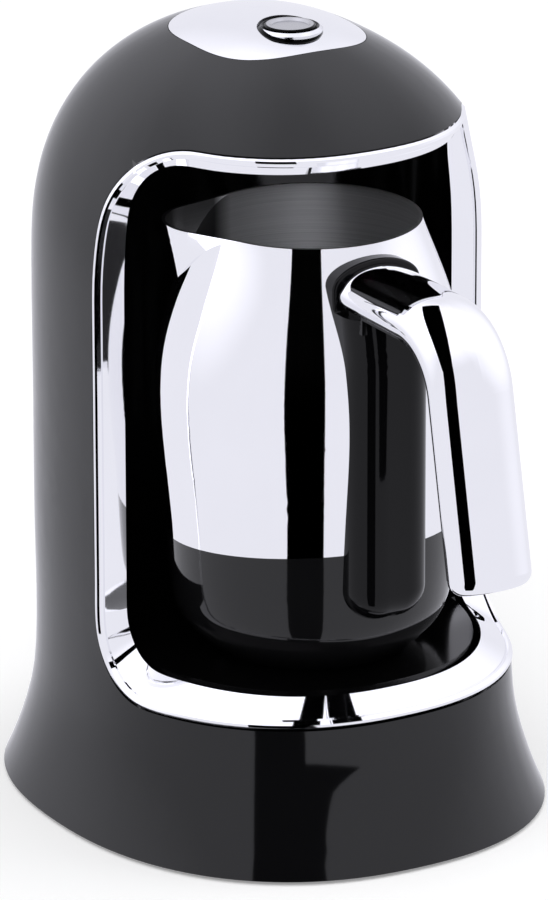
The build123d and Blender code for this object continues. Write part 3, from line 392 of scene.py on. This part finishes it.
ring_bright = finish("ring_bright", (0.8, 0.8, 0.83), 0.16, metallic=1, grain_mm=3, relief_mm=0.0006)
button_grey = finish("button_grey", (0.5, 0.5, 0.52), 0.2, metallic=1, relief_mm=0.002)
print("finishes", len(bpy.data.materials))

# %% [markdown]
# ## Finishes under the skin
# The works inside the stand and under the pot have the finishes that such parts have: grained
# mouldings, zinc screws, brass contacts, a green board, tape on the transformer, and so on.

# %% Finishes that are hidden
grained_black = finish("grained_black", (0.012, 0.012, 0.012), 0.5, grain_mm=0.6, relief_mm=0.02)
foot_rubber = finish("foot_rubber", (0.02, 0.02, 0.02), 0.75, grain_mm=0.5, relief_mm=0.02)
soft_silicone = finish("soft_silicone", (0.4, 0.4, 0.4), 0.55, grain_mm=0.6, relief_mm=0.01)
screw_zinc = finish("screw_zinc", (0.62, 0.62, 0.65), 0.28, metallic=1, grain_mm=0.5, relief_mm=0.004)
circuit_green = finish("circuit_green", (0.015, 0.12, 0.045), 0.3, grain_mm=2, relief_mm=0.006,
                       tint=0.2)
terminal_ivory = finish("terminal_ivory", (0.75, 0.7, 0.56), 0.4, relief_mm=0.006)
coil_tape = finish("coil_tape", (0.8, 0.55, 0.06), 0.45, grain_mm=1.5, relief_mm=0.02, tint=0.12)
relay_blue = finish("relay_blue", (0.03, 0.1, 0.42), 0.25)
sleeve_dark = finish("sleeve_dark", (0.02, 0.025, 0.06), 0.3)
smoked_window = finish("smoked_window", (0.012, 0.002, 0.008), 0.06)
contact_brass = finish("contact_brass", (0.78, 0.55, 0.2), 0.25, metallic=1, grain_mm=0.6,
                       relief_mm=0.003)
plate_aluminium = finish("plate_aluminium", (0.75, 0.75, 0.77), 0.35, metallic=1, grain_mm=0.8,
                         relief_mm=0.006)
element_steel = finish("element_steel", (0.3, 0.28, 0.27), 0.4, metallic=1, grain_mm=0.8,
                       relief_mm=0.008, tint=0.25)
print("finishes", len(bpy.data.materials))

# %% [markdown]
# ## Rules of place
# Some pieces have two finishes on one moulding or one sheet, and some have painted shade.  Nothing is
# painted by hand: a rule measures where the shaded point is on the piece, or which way the surface
# faces, and gives 1 on one side of a limit and 0 on the other.  The four helpers below write such
# rules in nodes.


# %% Helpers that measure a place on a piece
def object_place(tree):
    """The shaded point in the piece's own coordinates, in metres."""
    return next(n for n in tree.nodes if n.type == "TEX_COORD").outputs["Object"]


def from_axis(tree, axis_y):
    """The level vector to the shaded point from an upright axis on the middle line."""
    node = tree.nodes.new("ShaderNodeMapping")
    node.inputs["Location"].default_value = (0, -axis_y, 0)
    node.inputs["Scale"].default_value = (1, 1, 0)
    tree.links.new(object_place(tree), node.inputs["Vector"])
    return node.outputs["Vector"]


def measure(tree, operation, first, second=None):
    """One number from one or two vectors; the second is a socket or three numbers."""
    node = tree.nodes.new("ShaderNodeVectorMath")
    node.operation = operation
    tree.links.new(first, node.inputs[0])
    if hasattr(second, "links"):
        tree.links.new(second, node.inputs[1])
    elif second:
        node.inputs[1].default_value = second
    return node.outputs["Value"]


def compare(tree, value, comparison, limit):
    """1 where a number passes its limit, and 0 elsewhere."""
    node = tree.nodes.new("ShaderNodeMath")
    node.operation = comparison
    node.inputs[1].default_value = limit
    tree.links.new(value, node.inputs[0])
    return node.outputs["Value"]


print("helpers:", [helper.__name__ for helper in (object_place, from_axis, measure, compare)])

# %% [markdown]
# ## Mirror outside, brushed inside
# The pot is drawn from one steel sheet.  Outside it is polished to a mirror; inside it keeps the fine
# level lines of the brush.  One material covers both: the surface faces away from the pot's axis
# outside and towards it inside, so the dot product of the two directions picks the finish.  Towards
# the beak the brushed tone is darkened with painted shade.

# %% Inside or outside
plate_low, plate_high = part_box("heating_plate")
pot_axis_y = (plate_low.y + plate_high.y) / 2
turned_out_limit = 0.0008               # a little over 0, so that the level rim counts as inside

steel_tree = pot_steel.node_tree
link = steel_tree.links.new
steel_normal = steel_tree.nodes.new("ShaderNodeNewGeometry").outputs["Normal"]
turned_out = measure(steel_tree, "DOT_PRODUCT", from_axis(steel_tree, pot_axis_y), steel_normal)
inside = compare(steel_tree, turned_out, "LESS_THAN", turned_out_limit)
print("pot axis at y", round(pot_axis_y, 5))

# %% Brush lines, and painted shade in the beak
brush_scale = (18, 18, 2600)            # noise squeezed to level hair lines
brush_depth = 0.000012
brushed_dark, brushed_light = 0.55, 0.88
painted_beak_shade = 0.06                        # share of the tone left under the beak's painted shade
beak_turn = radians(-30)                # way from the beak across the mouth, within 5 degrees of its own
beak_inner, beak_root = -0.034, -0.028  # along that way: where the painted shade is full, and where it has ended

lines_at = steel_tree.nodes.new("ShaderNodeMapping")
lines_at.inputs["Scale"].default_value = brush_scale
link(object_place(steel_tree), lines_at.inputs["Vector"])
lines = steel_tree.nodes.new("ShaderNodeTexNoise")
lines.inputs["Scale"].default_value = 1
lines.inputs["Detail"].default_value = 3
link(lines_at.outputs["Vector"], lines.inputs["Vector"])
groove = steel_tree.nodes.new("ShaderNodeBump")
groove.inputs["Distance"].default_value = brush_depth
groove.inputs["Strength"].default_value = 1
link(lines.outputs["Fac"], groove.inputs["Height"])

# painted shade: the brushed tone fades down towards the beak's inside
across = measure(steel_tree, "DOT_PRODUCT", object_place(steel_tree),
                 (cos(beak_turn), sin(beak_turn), 0))
brushed_tone_and_beak_shade = steel_tree.nodes.new("ShaderNodeMath")
brushed_tone_and_beak_shade.operation = "MULTIPLY"
link(map_range(steel_tree, lines.outputs["Fac"], brushed_dark, brushed_light),
     brushed_tone_and_beak_shade.inputs[0])
link(map_range(steel_tree, across, painted_beak_shade, 1, beak_inner, beak_root), brushed_tone_and_beak_shade.inputs[1])
print("steel nodes", len(steel_tree.nodes))

# %% Join the two finishes of the steel
brushed_roughness = 0.42
steel = steel_tree.nodes["Principled BSDF"]
mix_slots = {"FLOAT": (2, 3, 0), "VECTOR": (4, 5, 1), "RGBA": (6, 7, 2)}    # inputs A and B, output


def pick(socket, inner, kind):
    """Keep a socket's value outside and give it another one inside."""
    first, second, result = mix_slots[kind]
    choose = steel_tree.nodes.new("ShaderNodeMix")
    choose.data_type = kind
    link(inside, choose.inputs["Factor"])
    link(steel.inputs[socket].links[0].from_socket, choose.inputs[first])
    if hasattr(inner, "links"):
        link(inner, choose.inputs[second])
    else:
        choose.inputs[second].default_value = inner
    link(choose.outputs[result], steel.inputs[socket])


pick("Roughness", brushed_roughness, "FLOAT")
pick("Base Color", brushed_tone_and_beak_shade.outputs[0], "RGBA")
pick("Normal", groove.outputs["Normal"], "VECTOR")
print("steel nodes", len(steel_tree.nodes))

# %% [markdown]
# ## The button and its ring
# The ring is bright on its bevel.  Painted shade makes it black inside and along the foot that sinks
# into the crown, where the gaps fall into shade, and gives the button a black rim of painted shade.
# The crown falls away to the front, so the foot's line of shade is measured from a plane that leans
# with it.  Two rays dropped on the crown's plate, before and behind the ring, give that plane.

# %% The crown's plane under the ring
ring_low, ring_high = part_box("button_bezel")
button_axis_y = (ring_low.y + ring_high.y) / 2
off_ring = 0.0004                       # the rays fall this far outside the ring


def crown_height(y):
    """Height of the crown's plate over a point of the middle line."""
    return nodes["top_plate"].ray_cast((0, y, 1), (0, 0, -1))[1].z


front_y = ring_low.y - off_ring
back_y = ring_high.y + off_ring
crown_slope = (crown_height(back_y) - crown_height(front_y)) / (back_y - front_y)
print("crown's slope at the ring", round(crown_slope, 4))

# %% Painted shade round the button
foot_shade_height = 0.0012                      # height of the painted shade at the ring's foot
rim_shade_width = 0.0008                      # width of the painted shade round the button's rim
# the black of the painted shade in the gaps round the button
gap_shade_black = (0.004, 0.004, 0.004, 1)


def paint_gap_shade(material, where):
    """Paint shade into a finish, in black, where a rule gives 1."""
    tree = material.node_tree
    shader = tree.nodes["Principled BSDF"]
    mix = tree.nodes.new("ShaderNodeMix")
    mix.data_type = "RGBA"
    tree.links.new(where, mix.inputs["Factor"])
    tree.links.new(shader.inputs["Base Color"].links[0].from_socket, mix.inputs[6])
    mix.inputs[7].default_value = gap_shade_black
    tree.links.new(mix.outputs[2], shader.inputs["Base Color"])


ring_tree = ring_bright.node_tree
ring_normal = ring_tree.nodes.new("ShaderNodeNewGeometry").outputs["Normal"]
ring_out = measure(ring_tree, "DOT_PRODUCT", from_axis(ring_tree, button_axis_y), ring_normal)
paint_gap_shade(ring_bright, compare(ring_tree, ring_out, "LESS_THAN", 0))
over_plane = measure(ring_tree, "DOT_PRODUCT", object_place(ring_tree), (0, -crown_slope, 1))
foot_top = crown_height(front_y) - crown_slope * front_y + foot_shade_height
paint_gap_shade(ring_bright, compare(ring_tree, over_plane, "LESS_THAN", foot_top))

cap_low, cap_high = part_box("button_cap")
cap_radius = (cap_high.x - cap_low.x) / 2
cap_tree = button_grey.node_tree
off_axis = measure(cap_tree, "LENGTH", from_axis(cap_tree, button_axis_y))
paint_gap_shade(button_grey, compare(cap_tree, off_axis, "GREATER_THAN", cap_radius - rim_shade_width))
print("button's radius in mm", round(1000 * cap_radius, 2))

# %% [markdown]
# ## Dress the pieces
# Every piece of the frame gets one of the finishes.  The list is written out piece by piece, so that
# a finish can be changed in one place without hunting through the scene.

# %% Give each piece its finish
wears = {
    "outer_shell": black_shell, "trim_ring": bright_frame, "bay_liner": bay_black,
    "top_plate": cap_bright, "button_bezel": ring_bright, "button_cap": button_grey,
    "button_board": circuit_green, "tact_switch": grained_black, "return_dome": soft_silicone,
    "button_board_screws": screw_zinc, "base_plate": grained_black, "rubber_feet": foot_rubber,
    "base_screws": screw_zinc, "cord_gland": foot_rubber, "terminal_block": terminal_ivory,
    "control_board": circuit_green, "board_screws": screw_zinc, "transformer": coil_tape,
    "relay": relay_blue, "capacitors": sleeve_dark, "buzzer": grained_black,
    "sensor_window": smoked_window, "foam_sensor": grained_black, "bay_plug": grained_black,
    "plug_blades": contact_brass, "pot_body": pot_steel, "pot_base": pot_black,
    "pot_base_screws": screw_zinc, "heating_plate": plate_aluminium,
    "heating_element": element_steel, "thermostat": grained_black, "pot_socket": grained_black,
    "contact_clips": contact_brass, "handle_cover": handle_bright, "handle_bracket": screw_zinc,
    "handle_frame": handle_black, "handle_screw": screw_zinc,
}
for name, piece in nodes.items():
    piece.data.materials.clear()
    piece.data.materials.append(wears[name])
print("dressed", len(wears), "of", len(nodes))
